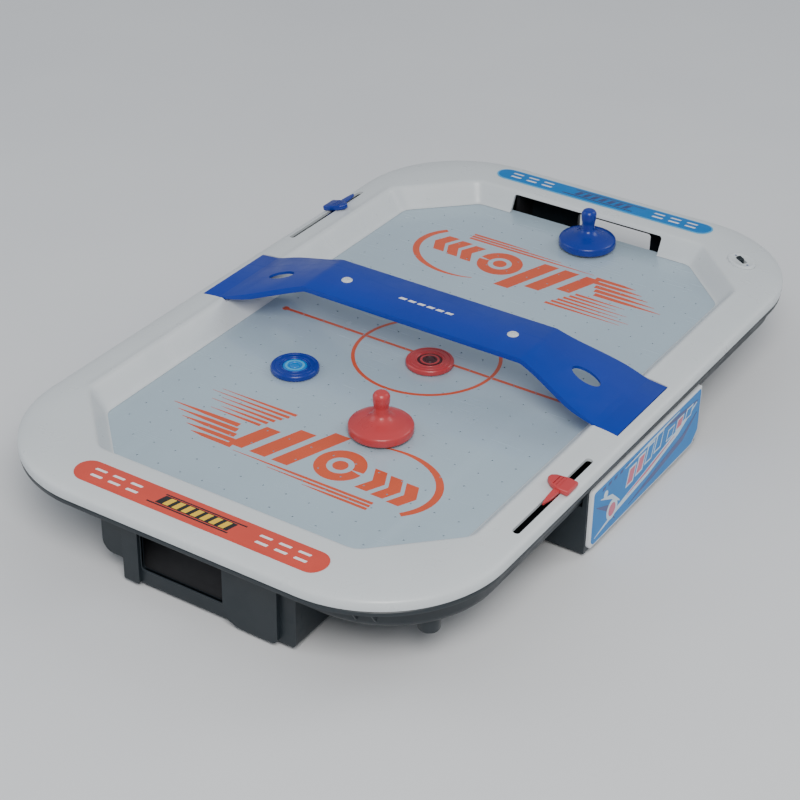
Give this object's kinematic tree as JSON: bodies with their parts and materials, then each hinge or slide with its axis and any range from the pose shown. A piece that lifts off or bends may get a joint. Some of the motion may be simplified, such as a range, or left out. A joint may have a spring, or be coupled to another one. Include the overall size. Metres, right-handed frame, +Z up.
{
  "type": "tabletop air hockey table",
  "caption": "Tabletop air hockey table: fan-fed perforated board in a white rim with goal pockets, overhead bridge, score sliders, mallets and pucks.",
  "frame": {"origin": "on the floor under the middle of the table", "axes": "+Z up; +Y along the table from the red player to the blue player; +X to the red player's right"},
  "size_m": [0.4, 0.64, 0.1076],
  "materials": {
    "rim_white": "semi-gloss moulded",
    "board_white": "smooth, printed",
    "panel_white": "semi-gloss moulded",
    "black_plastic": "fine moulded texture",
    "inner_black": "matte",
    "bridge_blue": "semi-gloss moulded",
    "blue_plastic": "gloss",
    "red_plastic": "gloss",
    "dark_plastic": "gloss",
    "cyan_plastic": "gloss",
    "fan_plastic": "satin",
    "label_red": "printed film",
    "label_blue": "printed film",
    "side_decal": "printed film",
    "felt": "short felt",
    "steel": "plated",
    "cell_wrap": "printed wrap over steel can",
    "wire_sleeve": "insulated wire",
    "rubber": "matte"
  },
  "bodies": {
    "table": {"air_tray": "black_plastic", "battery_tray": "inner_black", "bridge": "bridge_blue", "bridge_cap_left": "rim_white", "bridge_cap_right": "rim_white", "cell_1": "cell_wrap", "cell_2": "cell_wrap", "cell_3": "cell_wrap", "cell_4": "cell_wrap", "cell_wire": "wire_sleeve", "centre_box": "black_plastic", "contact_plate_left": "steel", "contact_plate_right": "steel", "end_label_blue": "label_blue", "end_label_red": "label_red", "end_leg_far": "black_plastic", "end_leg_near": "black_plastic", "fan_motor": "steel", "fan_shroud": "black_plastic", "field_support": "inner_black", "foot_1": "rubber", "foot_2": "rubber", "foot_3": "rubber", "foot_4": "rubber", "foot_5": "rubber", "foot_6": "rubber", "goal_pocket_far": "inner_black", "goal_pocket_near": "inner_black", "inlet_grille": "black_plastic", "motor_mount": "black_plastic", "play_field": "board_white", "rim_frame": "rim_white", "side_decal_left": "side_decal", "side_decal_right": "side_decal", "side_panel_left": "panel_white", "side_panel_right": "panel_white", "switch_bezel": "rim_white", "switch_body": "black_plastic", "switch_wire": "wire_sleeve", "tray_screw_1": "steel", "tray_screw_2": "steel", "tray_screw_3": "steel", "tray_screw_4": "steel"},
    "score_red": {"score_slider_red": "red_plastic", "score_clip_red": "red_plastic"},
    "score_blue": {"score_slider_blue": "blue_plastic", "score_clip_blue": "blue_plastic"},
    "switch": {"switch_knob": "black_plastic"},
    "fan_rotor": {"motor_shaft": "steel", "fan_impeller": "fan_plastic"},
    "door": {"battery_door": "black_plastic"},
    "mallet_red": {"mallet_red": "red_plastic", "mallet_felt_red": "felt"},
    "mallet_blue": {"mallet_blue": "blue_plastic", "mallet_felt_blue": "felt"},
    "puck_red": {"puck_ring_red": "red_plastic", "puck_inlay_red": "dark_plastic"},
    "puck_blue": {"puck_ring_blue": "blue_plastic", "puck_inlay_blue": "cyan_plastic"}
  },
  "joints": [
    {"name": "score_red_slide", "type": "slide", "parent": "table", "child": "score_red", "axis": [0, 1, 0], "range_m": [-0.061, 0.039]},
    {"name": "score_blue_slide", "type": "slide", "parent": "table", "child": "score_blue", "axis": [0, 1, 0], "range_m": [-0.065, 0.035]},
    {"name": "power_switch_slide", "type": "slide", "parent": "table", "child": "switch", "axis": [0.8192, -0.5736, 0], "range_m": [0, 0.005]},
    {"name": "fan_spin", "type": "hinge", "parent": "table", "child": "fan_rotor", "pos_m": [0, 0, 0.03], "axis": [0, 0, 1], "continuous": true},
    {"name": "battery_door_slide", "type": "slide", "parent": "table", "child": "door", "axis": [0, -1, 0], "range_m": [0, 0.12]},
    {"name": "mallet_red_slide", "type": "slide", "parent": "table", "child": "mallet_red", "axis": [0, 1, 0], "range_m": [-0.115, 0.055]},
    {"name": "mallet_blue_slide", "type": "slide", "parent": "table", "child": "mallet_blue", "axis": [0, 1, 0], "range_m": [-0.185, 0]},
    {"name": "puck_red_slide", "type": "slide", "parent": "table", "child": "puck_red", "axis": [1, 0, 0], "range_m": [-0.135, 0.125]},
    {"name": "puck_blue_slide", "type": "slide", "parent": "table", "child": "puck_blue", "axis": [0, 1, 0], "range_m": [-0.15, 0.02]}
  ]
}
